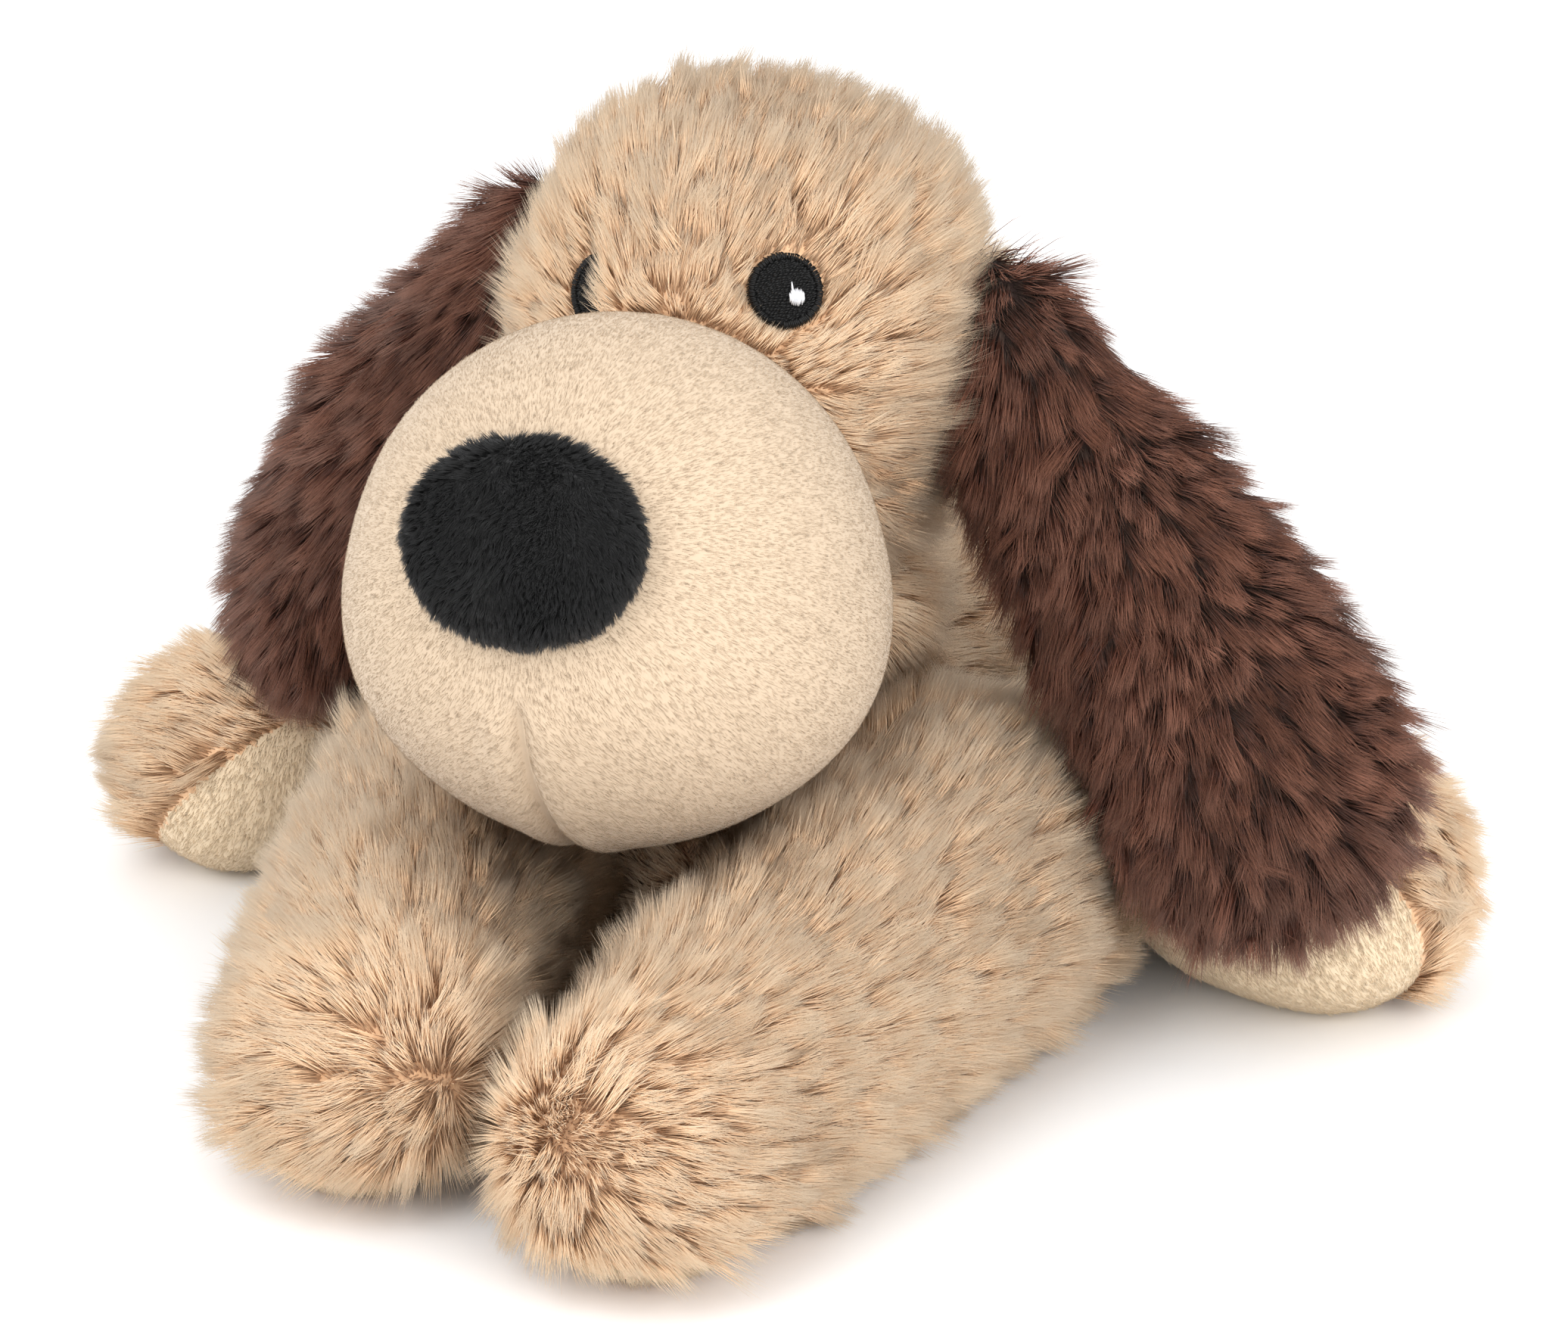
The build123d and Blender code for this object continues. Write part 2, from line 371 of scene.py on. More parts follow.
def covered(points, trees):
    """True for each point that is inside one of the other forms."""
    hidden = np.zeros(len(points), dtype=bool)
    for tree, low, high in trees:
        near = np.all((points > low) & (points < high), axis=1) & ~hidden
        for index in np.nonzero(near)[0]:
            place, normal, _, _ = tree.find_nearest(Vector(points[index]))
            if place is not None and (Vector(points[index]) - place).dot(normal) < 0:
                hidden[index] = True
    return hidden


class Pile:
    """The measures of one kind of pile, in metres."""

    def __init__(self, material, slot, width, tuft, pull, spread, bend, rings, jitter=0.07, tone=0.2):
        self.material = material
        self.slot = slot
        self.width = width      # radius of a fibre bundle at its root
        self.tuft = tuft        # bundles in a tuft
        self.pull = pull        # how far the tips of a tuft close up
        self.spread = spread    # how much tufts differ in direction
        self.bend = bend        # how far the tips lean over along the flow
        self.rings = rings      # places of the rings along a bundle
        self.jitter = jitter    # how much single bundles differ in direction
        self.tone = tone        # how much tufts differ in shade


SHAG = Pile(TAN_PILE, "tan_fur", 0.14 * MM, 42, 0.36, 0.22, 0.8, (0,), jitter=0.1, tone=0.16)
BROWN_SHAG = Pile(BROWN_PILE, "brown_fur", 0.14 * MM, 48, 0.4, 0.26, 0.9, (0,), jitter=0.1, tone=0.3)
VELOUR = Pile(CREAM_NAP, "cream_velour", 0.05 * MM, 4, 0.1, 0.04, 0.2, (0,), jitter=0.02, tone=0.12)
# The soles' and paw pads' velour uses the brighter cream copy: painted light against their shade.
SOLE_VELOUR_PAINTED_LIGHT = Pile(SOLE_NAP_PAINTED_LIGHT, "cream_velour", 0.08 * MM, 5, 0.15, 0.06, 0.25, (0,), jitter=0.03, tone=0.14)
PLUSH = Pile(BLACK_NAP, "black_plush", 0.12 * MM, 16, 0.4, 0.25, 0.5, (0,))


def blades(name, paths, radii, shade, rings, material):
    """One mesh of closed three-sided tapering blades. paths is (strand, ring or tip, 3)."""
    count, levels, _ = paths.shape
    first = unit(paths[:, 1] - paths[:, 0])
    helper = np.tile(np.array((0.31, 0.53, 0.79)), (count, 1))
    across = unit(np.cross(first, helper))
    other = np.cross(first, across)
    angles = np.arange(3) * 2 * math.pi / 3
    offset = across[:, None, :] * np.cos(angles)[None, :, None] + other[:, None, :] * np.sin(angles)[None, :, None]
    body = [paths[:, k, None, :] + offset * radii[:, k, None, None] for k in range(levels - 1)]
    points = np.concatenate(body + [paths[:, levels - 1, None, :]], axis=1)
    points[:, :, 2] = np.maximum(points[:, :, 2], FLOOR_GAP)
    per = points.shape[1]
    faces = [(2, 1, 0)]
    for k in range(levels - 2):
        for side in range(3):
            nxt = (side + 1) % 3
            faces.append((3 * k + side, 3 * k + nxt, 3 * k + 3 + nxt, 3 * k + 3 + side))
    top = 3 * (levels - 2)
    tip = per - 1
    for side in range(3):
        faces.append((top + side, top + (side + 1) % 3, tip))
    pattern = np.array([v for face in faces for v in face])
    sizes = np.array([len(face) for face in faces])
    starts = np.concatenate(([0], np.cumsum(sizes)[:-1]))
    heights = np.concatenate((np.repeat(np.array(rings, dtype=float), 3), [1.0]))[pattern]
    mesh = bpy.data.meshes.new(name)
    mesh.vertices.add(count * per)
    mesh.vertices.foreach_set("co", points.ravel())
    mesh.loops.add(count * len(pattern))
    loops = (np.arange(count)[:, None] * per + pattern[None, :]).ravel()
    mesh.loops.foreach_set("vertex_index", loops.astype(np.int32))
    mesh.polygons.add(count * len(faces))
    begin = (np.arange(count)[:, None] * len(pattern) + starts[None, :]).ravel()
    mesh.polygons.foreach_set("loop_start", begin.astype(np.int32))
    mesh.polygons.foreach_set("use_smooth", np.ones(count * len(faces), dtype=bool))
    mesh.update(calc_edges=True)
    layer = mesh.uv_layers.new(name="OFBake")
    pairs = np.empty((count, len(pattern), 2))
    pairs[:, :, 0] = shade[:, None]
    pairs[:, :, 1] = heights[None, :]
    layer.data.foreach_set("uv", (0.02 + 0.96 * pairs).ravel().astype(np.float32))
    mesh.materials.append(material)
    return link(name, mesh)


FACES_PER_PIECE = 190000


def grow(name, kind, roots, normals, flow, length, lift, rng, place):
    """Grows tufted pile from the roots and returns its pieces, each placed by place(piece)."""
    count = len(roots)
    tufts = max(1, count // kind.tuft)
    pick = rng.choice(count, tufts, replace=False)
    tree = kdtree.KDTree(tufts)
    for index, root in enumerate(roots[pick]):
        tree.insert(root, index)
    tree.balance()
    owner = np.array([tree.find(root)[1] for root in roots])
    lean = rng.normal(0, kind.spread, (tufts, 3))
    tuft_length = 1 + rng.normal(0, 0.13, tufts)
    tuft_lift = rng.normal(0, 0.09, tufts)
    tuft_shade = np.clip(0.5 + rng.normal(0, kind.tone, tufts), 0, 1)
    way = tangent(flow + lean[owner] * np.linalg.norm(flow, axis=1, keepdims=True), normals)
    stand = np.clip(lift + tuft_lift[owner], 0.12, 0.97)[:, None]
    start = unit(normals * stand + way * (1 - stand) + rng.normal(0, kind.jitter, (count, 3)))
    end = unit(start + kind.bend * (way + np.array((0, 0, -0.25))) + rng.normal(0, kind.jitter, (count, 3)))
    reach = (length * tuft_length[owner] * (1 + rng.normal(0, 0.1, count)))[:, None]
    stops = list(kind.rings) + [1.0]
    lines = [roots + reach * t * (start * (1 - 0.5 * t) + end * (0.5 * t)) for t in stops]
    middle = pick[owner]
    strength = kind.pull * np.clip(1 + rng.normal(0, 0.3, count), 0.1, 1.25)[:, None]
    paths = []
    for t, line in zip(stops, lines):
        gather = np.clip(strength * t ** 1.4, 0, 0.95)
        paths.append(line * (1 - gather) + line[middle] * gather)
    paths = np.stack(paths, axis=1)
    taper = np.array([(1 - t) ** 0.55 for t in kind.rings])
    radii = kind.width * (1 + rng.normal(0, 0.15, count))[:, None] * taper[None, :]
    shade = tuft_shade[owner] + rng.normal(0, kind.tone, count) + 0.15 * waves(roots, 45 * MM, 5)
    shade = np.clip(shade, 0, 1)
    triangles = 4 + 6 * (len(kind.rings) - 1)
    most = FACES_PER_PIECE // triangles
    order = np.argsort(roots[:, 2], kind="stable")
    pieces = []
    groups = max(1, math.ceil(count / most))
    for index, part in enumerate(np.array_split(order, groups)):
        label = name if groups == 1 else f"{name}_{index + 1}"
        piece = blades(label, paths[part], radii[part], shade[part], kind.rings, kind.material)
        place(piece)
        pieces.append(piece)
    return pieces


def riding(body):
    return lambda piece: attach(piece, body)


def shown(roots, normals):
    """Leaves out what rests on the floor and is never seen."""
    return ~((roots[:, 2] < 3 * MM) & (normals[:, 2] < -0.35))


# ---------------------------------------------------------------- making the forms
pouch = box_of("weighting_pouch")
FORMS = {}
PLAN = {
    "head": (["head_stuffing"], 4 * MM, None),
    "muzzle": (["muzzle_stuffing"], 4 * MM, None),
    "nose": (["nose_stuffing"], 1.6 * MM, None),
    "torso": (["body_stuffing"], 4 * MM, (pouch[2], (pouch[1][0] - pouch[0][0]) / 2)),
    "tail": (["tail_stuffing"], 2.5 * MM, None),
}
for side in SIDES:
    PLAN[f"ear_{side}"] = ([f"ear_{side}_filling"], 3.5 * MM, None)
    PLAN[f"foreleg_{side}"] = ([f"foreleg_{side}_stuffing"], 4 * MM, None)
    PLAN[f"hind_leg_{side}"] = ([f"hind_leg_{side}_stuffing"], 4 * MM, None)
for key, (nodes, voxel, hollow) in PLAN.items():
    FORMS[key] = stuffed_form(f"{key}_form", nodes, voxel, hollow)
growth = inflate(list(FORMS.values()), COVER)
BACKINGS = {"muzzle": CREAM_BACKING, "nose": BLACK_BACKING, "ear_left": BROWN_BACKING, "ear_right": BROWN_BACKING}
for key, thing in FORMS.items():
    missing = COVER * 0.9 - growth.get(thing.name, 0)
    finish_form(thing, BACKINGS.get(key, TAN_BACKING))
    points = coordinates(thing.data) + normals_of(thing.data) * missing
    points[:, 2] = np.maximum(points[:, 2], FLOOR_GAP)
    set_coordinates(thing.data, points)


def shape_muzzle(thing):
    """A little wider low down, with the chin seam drawn in below the nose."""
    points = coordinates(thing.data)
    local = points - MUZZLE
    low = smooth_step(-local[:, 2], -20 * MM, 30 * MM)
    local[:, 0] *= 1 + 0.075 * low * smooth_step(local[:, 2], -66 * MM, -30 * MM)
    seam_zone = smooth_step(-local[:, 2], 4 * MM, 14 * MM) * smooth_step(-local[:, 1], -30 * MM, 0)
    groove = np.exp(-(local[:, 0] / (1.6 * MM)) ** 2) * 2.3 * MM
    pucker = np.exp(-((np.abs(local[:, 0]) - 6 * MM) / (3.5 * MM)) ** 2) * 0.9 * MM
    radial = unit(local)
    local -= radial * (seam_zone * (groove - pucker))[:, None]
    set_coordinates(thing.data, MUZZLE + local)


def shape_head(thing):
    """A ridge up the forehead between the eyes and a fuller crown on the left; the eyes stay as they are."""
    points = coordinates(thing.data)
    local = points - HEAD
    calm = smooth_step(np.linalg.norm(points - EYES["left"], axis=1), 9 * MM, 17 * MM)
    lateral = smooth_step(points[:, 0], EYES["right"][0], EYES["right"][0] + 7 * MM)
    calm *= np.maximum(lateral, smooth_step(np.linalg.norm(points - EYES["right"], axis=1), 9 * MM, 15 * MM))
    ridge = np.exp(-((local[:, 0] - 3 * MM) / (9 * MM)) ** 2 - ((local[:, 2] - 24 * MM) / (24 * MM)) ** 2)
    ridge *= smooth_step(-local[:, 1], 10 * MM, 30 * MM)
    lid = smooth_step(points[:, 0], EYES["right"][0] + 0.5 * MM, EYES["right"][0] + 6 * MM)
    lid *= smooth_step(-np.linalg.norm(points - EYES["right"], axis=1), -16 * MM, -9 * MM)
    crown = smooth_step(local[:, 0], 10 * MM, 42 * MM) * smooth_step(local[:, 2], 5 * MM, 40 * MM)
    set_coordinates(thing.data, points + unit(local) * (calm * (ridge * 9 * MM + crown * 4.5 * MM) + lid * 3.6 * MM)[:, None])


def shape_ear(thing, sign):
    """The outer edge of the ear is fuller half way down."""
    points = coordinates(thing.data)
    top, bottom = points[np.argmax(points[:, 2])], points[np.argmin(points[:, 2])]
    axis = unit((bottom - top)[None, :])[0]
    along = (points - top) @ axis / np.linalg.norm(bottom - top)
    out = np.array((sign, 0, 0)) - axis * axis[0] * sign
    out /= np.linalg.norm(out)
    middle = top + np.outer((points - top) @ axis, axis)
    outer = smooth_step((points - middle) @ out, 0, 22 * MM)
    swell = np.exp(-((along - 0.5) / 0.28) ** 2) * outer
    set_coordinates(thing.data, points + out * (swell * 8 * MM)[:, None])


def shape_foot(thing, side, sign):
    """The sole end of the left foot spreads in towards the foreleg."""
    low, high, foot = box_of(f"hind_leg_{side}_sole")
    points = coordinates(thing.data)
    offset = points - foot
    inward = smooth_step(-sign * offset[:, 0], -24 * MM, 10 * MM)
    inward *= smooth_step(sign * offset[:, 0], -46 * MM, -20 * MM)
    ahead = smooth_step(-offset[:, 1], -22 * MM, 4 * MM)
    spread = np.array((-2.5 * sign, -8, 0)) * MM
    set_coordinates(thing.data, points + (inward * ahead)[:, None] * spread)


def refine(thing, levels):
    finer = thing.modifiers.new("finer", "SUBSURF")
    finer.levels = levels
    finer.render_levels = levels
    return applied(thing)


refine(FORMS["muzzle"], 1)
shape_muzzle(FORMS["muzzle"])
shape_head(FORMS["head"])
for side, sign in SIDES.items():
    shape_ear(FORMS[f"ear_{side}"], sign)
shape_foot(FORMS["hind_leg_left"], "left", 1)
TREES = {key: tree_of(thing) for key, thing in FORMS.items()}


def others(*own):
    return [tree for key, tree in TREES.items() if key not in own]


REPLACED = {
    "head": ["head_left_panel", "head_right_panel", "head_stuffing"],
    "muzzle": ["muzzle_left_panel", "muzzle_right_panel", "muzzle_stuffing"],
    "nose": ["nose_cover", "nose_stuffing"],
    "torso": ["body_left_panel", "body_right_panel", "belly_panel", "body_stuffing", "weighting_pouch"],
    "tail": ["tail_cover", "tail_stuffing"],
}
BODY = {"head": "head", "muzzle": "head", "nose": "head", "torso": "torso", "tail": "tail"}
for side in SIDES:
    REPLACED[f"ear_{side}"] = [f"ear_{side}_{part}" for part in ("front_panel", "back_panel", "filling")]
    REPLACED[f"foreleg_{side}"] = [f"foreleg_{side}_{part}" for part in ("cover", "paw_pad", "stuffing")]
    REPLACED[f"hind_leg_{side}"] = [f"hind_leg_{side}_{part}" for part in ("cover", "sole", "stuffing")]
    for part in ("ear", "foreleg", "hind_leg"):
        BODY[f"{part}_{side}"] = f"{part}_{side}"
for key, thing in FORMS.items():
    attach(thing, BODY[key])
    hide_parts(*REPLACED[key])


# ---------------------------------------------------------------- pile of each part
def head_pile():
    rng = np.random.default_rng(11)
    roots, normals = sample(FORMS["head"], 3.3, rng)
    keep = ~covered(roots, others("head"))
    for side, eye in EYES.items():
        overgrown = (side == "right") & (roots[:, 0] > eye[0] + 2 * MM)
        keep &= (np.linalg.norm(roots - eye, axis=1) > 8.6 * MM) | overgrown
    roots, normals = roots[keep], normals[keep]
    flow = tangent(roots - MUZZLE, normals)
    flow += np.array((0, 0, -0.35)) * smooth_step(-roots[:, 2], -175 * MM, -130 * MM)[:, None]
    near = np.linalg.norm(roots - MUZZLE, axis=1) - MUZZLE_RADIUS
    length = 13.5 * MM * (0.62 + 0.38 * smooth_step(near, 0, 22 * MM))
    local = roots - HEAD
    cheek = smooth_step(local[:, 0], 20 * MM, 44 * MM) * smooth_step(-local[:, 2], -20 * MM, 10 * MM)
    length *= 1 + 0.35 * cheek
    lift = 0.4 + 0.1 * waves(roots, 40 * MM, 2)
    for side, eye in EYES.items():
        free = (side == "right") & (roots[:, 0] > eye[0] + 2 * MM)
        gap = eye - roots
        distance = np.linalg.norm(gap, axis=1)
        towards = np.sum(unit(gap) * flow, axis=1) > 0.15
        limit = np.maximum(distance - 8.6 * MM, 0) * 1.0 + 2 * MM
        limit = np.where(towards, limit, np.maximum(distance - 8.6 * MM, 0) * 1.6 + 5 * MM)
        length = np.where(free, length, np.minimum(length, limit))
    grow("head_pile", SHAG, roots, normals, flow, length, lift, rng, riding("head"))


def torso_pile():
    rng = np.random.default_rng(12)
    roots, normals = sample(FORMS["torso"], 2.4, rng)
    keep = ~covered(roots, others("torso")) & shown(roots, normals)
    roots, normals = roots[keep], normals[keep]
    flow = np.tile(np.array((0, 0.8, -0.5)), (len(roots), 1))
    flow[:, 0] = roots[:, 0] * 6
    front = smooth_step(-roots[:, 1], -10 * MM, 30 * MM)[:, None]
    flow = flow * (1 - front) + front * np.array((0, 0, 0.8)) + front * roots * np.array((8, 0, 0))
    grow("torso_pile", SHAG, roots, normals, tangent(flow, normals), np.full(len(roots), 13 * MM),
         0.5 + 0.1 * waves(roots, 40 * MM, 3), rng, riding("torso"))


def foreleg_pile(side, sign):
    key = f"foreleg_{side}"
    rng = np.random.default_rng(20 + sign)
    roots, normals = sample(FORMS[key], 2.8, rng)
    keep = ~covered(roots, others(key)) & shown(roots, normals)
    paw_low, paw_high, paw = box_of(f"foreleg_{side}_paw_pad")
    pad = (roots[:, 1] < paw_high[1]) & (roots[:, 2] < paw_high[2] + 2 * MM) & (normals[:, 2] < -0.3)
    skin = keep & ~pad
    points, facing = roots[skin], normals[skin]
    leg_low, leg_high, _ = box_of(f"foreleg_{side}_cover")
    seam = np.array((paw[0] - sign * 27 * MM, leg_low[1] + 20 * MM, 30 * MM))
    flow = tangent(points - seam, facing)
    back = smooth_step(np.linalg.norm(points - seam, axis=1), 40 * MM, 110 * MM)[:, None]
    flow += back * np.array((sign * 0.25, 0.7, 0.35))
    grow(f"{key}_pile", SHAG, points, facing, tangent(flow, facing), np.full(len(points), 12.5 * MM),
         0.56 + 0.12 * waves(points, 36 * MM, 30 + sign), rng, riding(key))
    points, facing = roots[keep & pad], normals[keep & pad]
    flow = np.tile(np.array((0, 1.0, 0)), (len(points), 1))
    grow(f"{key}_pad_nap", SOLE_VELOUR_PAINTED_LIGHT, points, facing, tangent(flow, facing), np.full(len(points), 2.5 * MM),
         np.full(len(points), 0.45), rng, riding(key))


def on_sole(points, side, sign):
    """True for points in front of the sole seam; fur hides the outer part of the right sole."""
    facing = unit(np.array([(-0.28 * sign, -0.85, -0.4)]))[0]
    sole = coordinates(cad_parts[f"hind_leg_{side}_sole"].data)
    inside = points @ facing > (sole @ facing).min()
    if side == "right":
        inward = unit(np.array([(0.7, -0.25, -0.65)]))[0]
        inside &= (points - sole.mean(axis=0)) @ inward > 0
    return inside


def sole_faces(thing, side, sign):
    """Paints the faces in front of the sole seam with the brighter copy of the velour backing, painted light against
    the shade low on the foot.
    """
    thing.data.materials.append(SOLE_BACKING_PAINTED_LIGHT)
    centres = np.array([tuple(face.center) for face in thing.data.polygons])
    thing.data.polygons.foreach_set("material_index", on_sole(centres, side, sign).astype(np.int32))


def hind_leg_pile(side, sign):
    key = f"hind_leg_{side}"
    rng = np.random.default_rng(40 + sign)
    sole_faces(FORMS[key], side, sign)
    roots, normals = sample(FORMS[key], 2.5, rng)
    keep = ~covered(roots, others(key)) & shown(roots, normals) & ~on_sole(roots, side, sign)
    roots, normals = roots[keep], normals[keep]
    flow = np.tile(np.array((sign * 0.9, -0.35, 0.1)), (len(roots), 1))
    grow(f"{key}_pile", SHAG, roots, normals, tangent(flow, normals), np.full(len(roots), 12 * MM),
         0.5 + 0.1 * waves(roots, 36 * MM, 50 + sign), rng, riding(key))
    roots, normals = sample(FORMS[key], 3.2, rng)
    keep = ~covered(roots, others(key)) & shown(roots, normals) & on_sole(roots, side, sign)
    roots, normals = roots[keep], normals[keep]
    flow = np.tile(np.array((sign * 0.4, 0, -0.6)), (len(roots), 1))
    grow(f"{key}_sole_nap", SOLE_VELOUR_PAINTED_LIGHT, roots, normals, tangent(flow, normals), np.full(len(roots), 1.8 * MM),
         np.full(len(roots), 0.2), rng, riding(key))


def ear_pile(side, sign):
    key = f"ear_{side}"
    rng = np.random.default_rng(60 + sign)
    thing = FORMS[key]
    roots, normals = sample(thing, 3.2, rng)
    keep = ~covered(roots, others(key)) & shown(roots, normals)
    roots, normals = roots[keep], normals[keep]
    points = coordinates(thing.data)
    top = points[np.argmax(points[:, 2])]
    centre = points.mean(axis=0)
    axis = unit((centre - top)[None, :])[0]
    side_way = roots - top
    side_way = side_way - np.outer(side_way @ axis, axis)
    flow = axis * 0.75 + side_way / (22 * MM) * 0.65 + np.array((0, 0, -0.25))
    grow(f"{key}_pile", BROWN_SHAG, roots, normals, tangent(flow, normals), np.full(len(roots), 14 * MM),
         0.46 + 0.18 * waves(roots, 30 * MM, 70 + sign), rng, riding(key))


def ear_wisps():
    """A few long stray fibres at the top of the left ear."""
    rng = np.random.default_rng(77)
    points = coordinates(FORMS["ear_left"].data)
    top = points[np.argmax(points[:, 2])]
    count = 22
    roots = top + rng.normal(0, 1, (count, 3)) * np.array((4, 3, 1)) * MM - np.array((0, 0, 2)) * MM
    way = unit(np.array((0.55, -0.35, 0.6)) + rng.normal(0, 0.3, (count, 3)))
    reach = rng.uniform(12, 21, (count, 1)) * MM
    droop = unit(way + np.array((0.5, 0, -0.3)))
    stops = (0, 0.4, 0.75, 1.0)
    paths = np.stack([roots + reach * t * (way * (1 - 0.6 * t) + droop * 0.6 * t) for t in stops], axis=1)
    radii = np.tile(np.array((0.12, 0.1, 0.07)) * MM, (count, 1))
    piece = blades("ear_left_wisps", paths, radii, rng.random(count), stops[:-1], BROWN_PILE)
    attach(piece, "ear_left")


def tail_pile():
    rng = np.random.default_rng(80)
    roots, normals = sample(FORMS["tail"], 2.5, rng)
    points = coordinates(FORMS["tail"].data)
    tip = points[np.argmax(points[:, 1])]
    base = points[np.argmin(points[:, 1])]
    flow = np.tile(tip - base, (len(roots), 1))
    keep = ~covered(roots, others("tail"))
    roots, normals, flow = roots[keep], normals[keep], flow[keep]
    grow("tail_pile", SHAG, roots, normals, tangent(flow, normals), np.full(len(roots), 10 * MM),
         np.full(len(roots), 0.45), rng, riding("tail"))


def muzzle_nap():
    rng = np.random.default_rng(90)
    roots, normals = sample(FORMS["muzzle"], 3.6, rng)
    inside = covered(roots, others("muzzle"))
    local = roots - MUZZLE
    keep = ~inside & ~((np.abs(local[:, 0]) < 0.6 * MM) & (local[:, 2] < -10 * MM) & (local[:, 1] < 0))
    roots, normals = roots[keep], normals[keep]
    flow = tangent(roots - NOSE, normals)
    local = roots - MUZZLE
    chin = smooth_step(-local[:, 2], 0, 20 * MM) * np.exp(-(local[:, 0] / (26 * MM)) ** 2)
    flow[:, 0] += np.sign(local[:, 0]) * chin * 1.3
    grow("muzzle_nap", VELOUR, roots, normals, tangent(flow, normals), np.full(len(roots), 1.2 * MM),
         0.13 + 0.01 * waves(roots, 20 * MM, 91), rng, riding("head"))


def nose_pile():
    rng = np.random.default_rng(95)
    roots, normals = sample(FORMS["nose"], 11, rng)
    keep = ~covered(roots, others("nose"))
    roots, normals = roots[keep], normals[keep]
    flow = np.tile(np.array((0.1, 0, -1.0)), (len(roots), 1)) + (roots - NOSE) * 28
    flow[:, 0] += 0.6 * waves(roots, 16 * MM, 97)
    grow("nose_pile", PLUSH, roots, normals, tangent(flow, normals), np.full(len(roots), 3.2 * MM),
         0.58 + 0.16 * waves(roots, 14 * MM, 96), rng, riding("head"))


# ---------------------------------------------------------------- neck between head and torso
def neck():
    """Fur cloth that bridges the gap under the head."""
    low = np.array((0, HEAD[1] + 4 * MM, 70 * MM))
    high = np.array((0, HEAD[1] + 2 * MM, 106 * MM))
    shape = bmesh.new()
    bmesh.ops.create_uvsphere(shape, u_segments=48, v_segments=32, radius=1)
    for vertex in shape.verts:
        vertex.co.x *= 38 * MM
        vertex.co.y *= 38 * MM
        vertex.co.z *= (high[2] - low[2]) / 2
        vertex.co += Vector((low + high) / 2)
    mesh = bpy.data.meshes.new("neck_cover")
    shape.to_mesh(mesh)
    shape.free()
    thing = link("neck_cover", mesh)
    mesh.materials.append(TAN_BACKING)
    mesh.polygons.foreach_set("use_smooth", np.ones(len(mesh.polygons), dtype=bool))
    rng = np.random.default_rng(100)
    roots, normals = sample(thing, 2.2, rng)
    keep = ~covered(roots, others())
    roots, normals = roots[keep], normals[keep]
    bend = lambda piece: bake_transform(piece)
    grow("neck_pile", SHAG, roots, normals, tangent(np.tile(np.array((0, 0.2, -0.6)), (len(roots), 1)), normals),
         np.full(len(roots), 14 * MM), np.full(len(roots), 0.6), rng, bend)
    bend(thing)


# ---------------------------------------------------------------- embroidered eyes
def tubes(name, lines, radius, sides, material):
    """Closed round tubes along short lines, all in one mesh."""
    verts, faces = [], []
    for line in lines:
        base = len(verts)
        for k, point in enumerate(line):
            ahead = line[min(k + 1, len(line) - 1)] - line[max(k - 1, 0)]
            ahead = ahead / np.linalg.norm(ahead)
            across = np.cross(ahead, (0.3, 0.5, 0.8))
            across /= np.linalg.norm(across)
            other = np.cross(ahead, across)
            fat = radius * (0.55 if k in (0, len(line) - 1) else 1)
            for s in range(sides):
                angle = 2 * math.pi * s / sides
                verts.append(point + fat * (math.cos(angle) * across + math.sin(angle) * other))
        for k in range(len(line) - 1):
            for s in range(sides):
                t = (s + 1) % sides
                a, b = base + k * sides, base + (k + 1) * sides
                faces.append((a + s, a + t, b + t, b + s))
        faces.append(tuple(base + s for s in reversed(range(sides))))
        last = base + (len(line) - 1) * sides
        faces.append(tuple(last + s for s in range(sides)))
    mesh = bpy.data.meshes.new(name)
    mesh.from_pydata([tuple(v) for v in verts], [], faces)
    mesh.polygons.foreach_set("use_smooth", np.ones(len(mesh.polygons), dtype=bool))
    mesh.materials.append(material)
    return link(name, mesh)


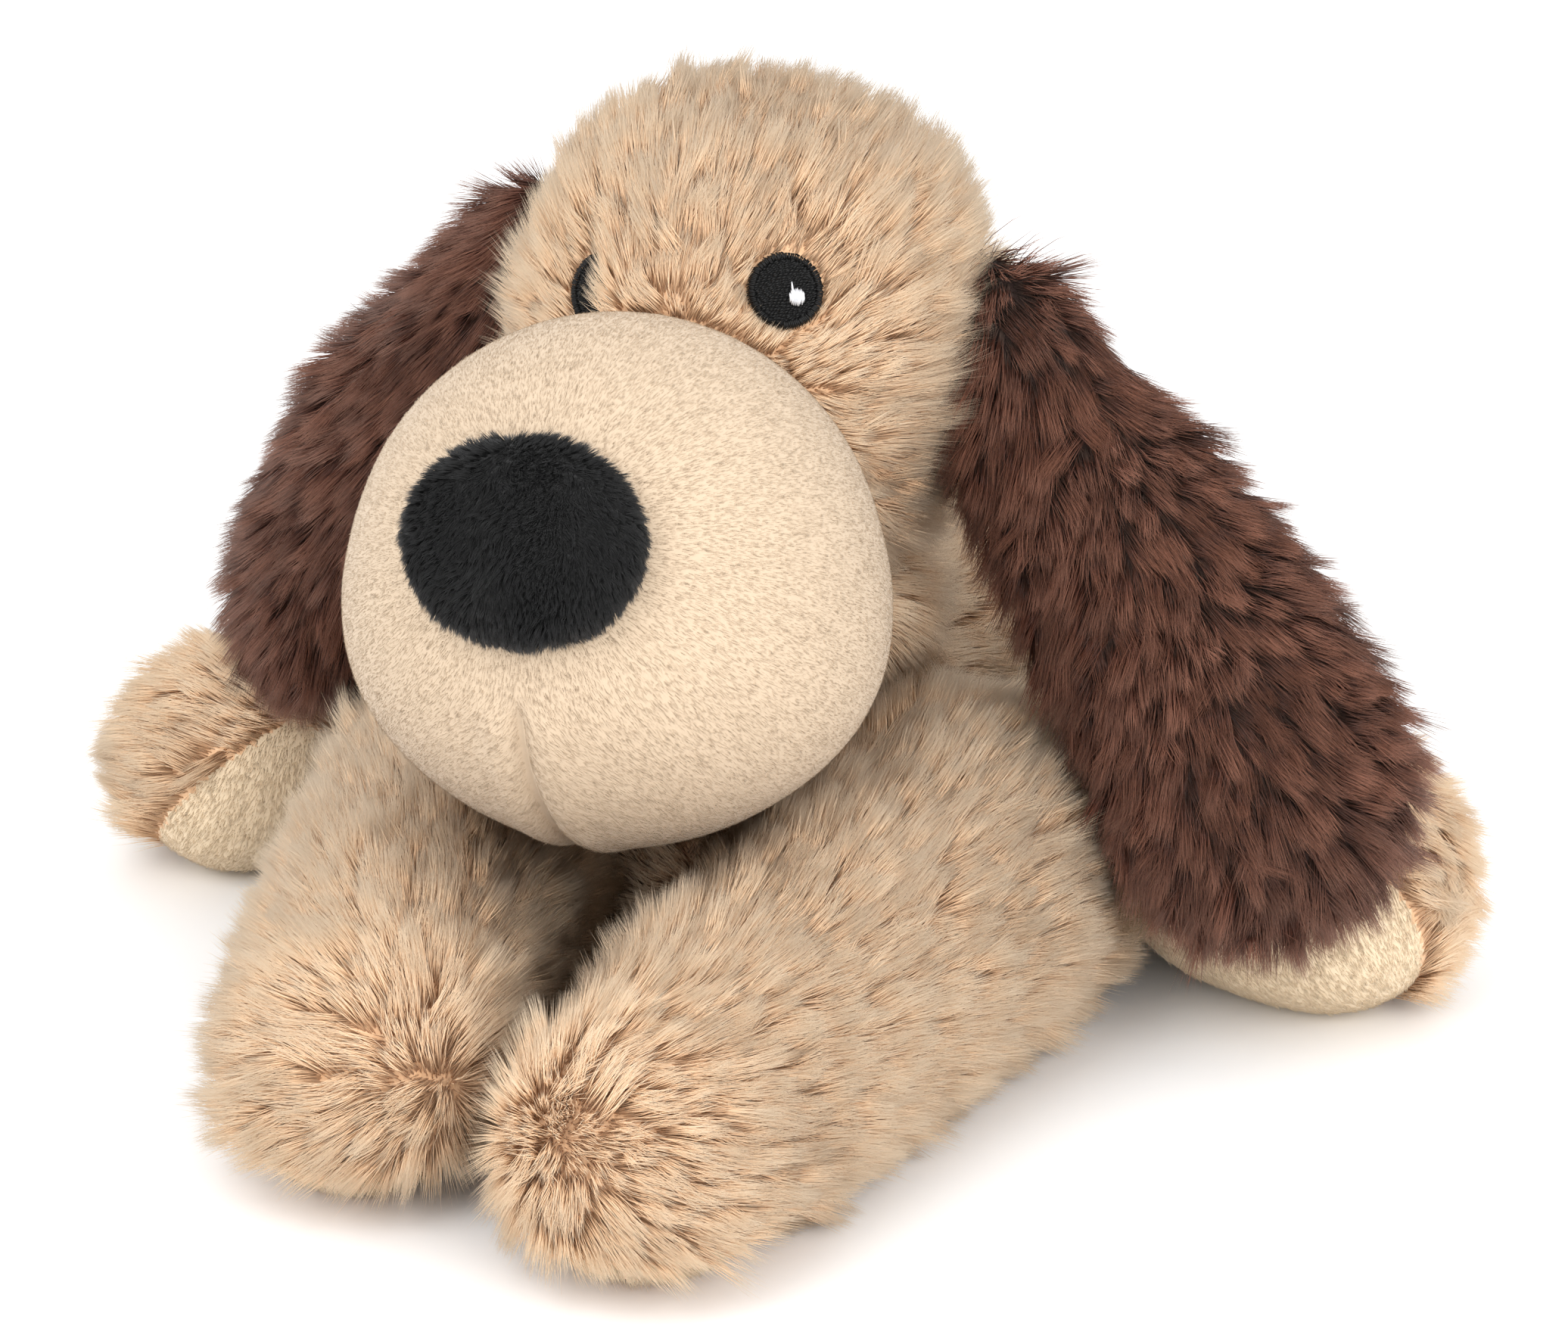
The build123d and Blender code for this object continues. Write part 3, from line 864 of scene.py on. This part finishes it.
def embroidered_eye(side, sign):
    rng = np.random.default_rng(110 + sign)
    centre = EYES[side]
    out = unit(((centre - HEAD) / np.array((HEAD_RADIUS, HEAD_RADIUS, HEAD_HEIGHT)) ** 2)[None, :])[0]
    right = unit(np.cross((0, 0, 1), out)[None, :])[0]
    up = np.cross(out, right)
    radius = 8.4 * MM

    def lay(a, b, height):
        """A point of the eye, a and b from its middle, at a height over the head's form."""
        ray = centre + right * a + up * b - HEAD
        size = np.array((HEAD_RADIUS, HEAD_RADIUS, HEAD_HEIGHT)) + height
        return HEAD + ray / np.linalg.norm(ray / size)

    shape = bmesh.new()
    rings, around = 10, 48
    grid = []
    for ring in range(rings + 1):
        share = ring / rings
        height = 1.0 * MM if ring < rings else -0.8 * MM
        row = [shape.verts.new(lay(radius * share * math.cos(2 * math.pi * k / around) * 0.97,
                                   radius * share * math.sin(2 * math.pi * k / around), height))
               for k in range(around if ring else 1)]
        grid.append(row)
    for k in range(around):
        shape.faces.new((grid[0][0], grid[1][k], grid[1][(k + 1) % around]))
    for ring in range(1, rings):
        for k in range(around):
            t = (k + 1) % around
            shape.faces.new((grid[ring][k], grid[ring + 1][k], grid[ring + 1][t], grid[ring][t]))
    shape.faces.new(list(reversed(grid[rings])))
    bmesh.ops.recalc_face_normals(shape, faces=shape.faces)
    mesh = bpy.data.meshes.new(f"eye_{side}_ground")
    shape.to_mesh(mesh)
    shape.free()
    mesh.materials.append(BLACK_BACKING)
    ground = link(f"eye_{side}_ground", mesh)
    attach(ground, "head")
    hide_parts(f"eye_{side}")

    lines = []
    turn = math.radians(25)
    row = -radius
    while row < radius:
        place = -radius + rng.uniform(0, 1.2) * MM
        while place < radius:
            length = rng.uniform(1.2, 2.0) * MM
            ends = []
            for share in (0, 0.5, 1):
                x, y = place + share * length, row + rng.normal(0, 0.05) * MM
                a = x * math.cos(turn) - y * math.sin(turn)
                b = x * math.sin(turn) + y * math.cos(turn)
                ends.append((a, b, (1.25 if share == 0.5 else 0.85) * MM))
            if all(math.hypot(a, b) < radius * 0.88 for a, b, _ in ends):
                lines.append([lay(*end) for end in ends])
            place += length * 0.95
        row += 0.42 * MM
    stitches = 118
    for k in range(stitches):
        angle = 2 * math.pi * (k + rng.normal(0, 0.15)) / stitches
        inner, outer = radius * rng.uniform(0.76, 0.8), radius * rng.uniform(0.99, 1.05)
        heights = (0.95, 1.55, 1.5, 0.2)
        line = []
        for share, height in zip((0, 0.3, 0.7, 1), heights):
            reach = inner + share * (outer - inner)
            line.append(lay(reach * math.cos(angle), reach * math.sin(angle), height * MM))
        lines.append(line)
    threads = tubes(f"eye_{side}_stitches", lines, 0.24 * MM, 6, BLACK_THREAD)
    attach(threads, "head")

    spot_low, spot_high, spot = box_of(f"eye_glint_{side}")
    a0 = float((spot - centre) @ right)
    b0 = float((spot - centre) @ up)
    lines = []
    for k in range(9):
        offset = (k - 4) * 0.36 * MM
        half = 1.75 * MM * math.sqrt(max(0.1, 1 - (offset / (1.9 * MM)) ** 2)) + rng.normal(0, 0.1) * MM
        line = []
        for share, height in ((-1, 1.3), (-0.5, 2.0), (0.5, 2.0), (1, 1.3)):
            line.append(lay(a0 + offset + rng.normal(0, 0.04) * MM, b0 + share * half, height * MM))
        lines.append(line)
    lines.append([lay(a0 - 0.8 * MM, b0 + k * 1.1 * MM, (1.9 - 0.15 * k) * MM) for k in (0, 1, 2, 3)])
    glint = tubes(f"eye_{side}_glint_stitches", lines, 0.24 * MM, 6, WHITE_THREAD)
    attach(glint, "head")
    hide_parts(f"eye_glint_{side}")


head_pile()
torso_pile()
tail_pile()
muzzle_nap()
nose_pile()
neck()
ear_wisps()
for side, sign in SIDES.items():
    embroidered_eye(side, sign)
    foreleg_pile(side, sign)
    hind_leg_pile(side, sign)
    ear_pile(side, sign)


# ---------------------------------------------------------------- floor, light and camera
def studio():
    shape = bmesh.new()
    bmesh.ops.create_grid(shape, x_segments=8, y_segments=8, size=4)
    mesh = bpy.data.meshes.new("floor")
    shape.to_mesh(mesh)
    shape.free()
    floor = link("floor", mesh)
    material, nodes, links, shader = new_material("paper")
    shader.inputs["Base Color"].default_value = (0.93, 0.93, 0.93, 1)
    shader.inputs["Roughness"].default_value = 0.8
    mesh.materials.append(material)
    world = bpy.data.worlds.new("studio")
    world.use_nodes = True
    world.node_tree.nodes["Background"].inputs["Color"].default_value = (1, 1, 1, 1)
    world.node_tree.nodes["Background"].inputs["Strength"].default_value = 1.17
    bpy.context.scene.world = world
    for name, place, size, energy in (("key", (-0.35, -1.4, 1.3), 1.4, 16), ("fill", (1.2, -1.0, 0.8), 1.4, 14)):
        light = bpy.data.lights.new(name, "AREA")
        light.shape = "DISK"
        light.size = size
        light.energy = energy
        lamp = bpy.data.objects.new(name, light)
        bpy.context.collection.objects.link(lamp)
        lamp.location = place
        lamp.rotation_euler = (Vector((0, -0.05, 0.08)) - Vector(place)).to_track_quat("-Z", "Y").to_euler()


def camera():
    azimuth, elevation, distance = math.radians(20.5), math.radians(22), 1.5
    right = Vector((math.cos(azimuth), math.sin(azimuth), 0))
    up = Vector((-math.sin(azimuth) * math.sin(elevation), math.cos(azimuth) * math.sin(elevation),
                 math.cos(elevation)))
    back = Vector((math.sin(azimuth) * math.cos(elevation), -math.cos(azimuth) * math.cos(elevation),
                   math.sin(elevation)))
    target = Vector(MUZZLE) + right * 36.4 * MM - up * 19.1 * MM
    data = bpy.data.cameras.new("camera")
    data.sensor_width = 36
    data.lens = data.sensor_width * distance / (342 * MM)
    thing = bpy.data.objects.new("camera", data)
    bpy.context.collection.objects.link(thing)
    thing.location = target + back * distance
    thing.rotation_euler = (-back).to_track_quat("-Z", "Y").to_euler()
    bpy.context.scene.camera = thing
    bpy.context.scene.view_settings.view_transform = "Standard"


studio()
camera()
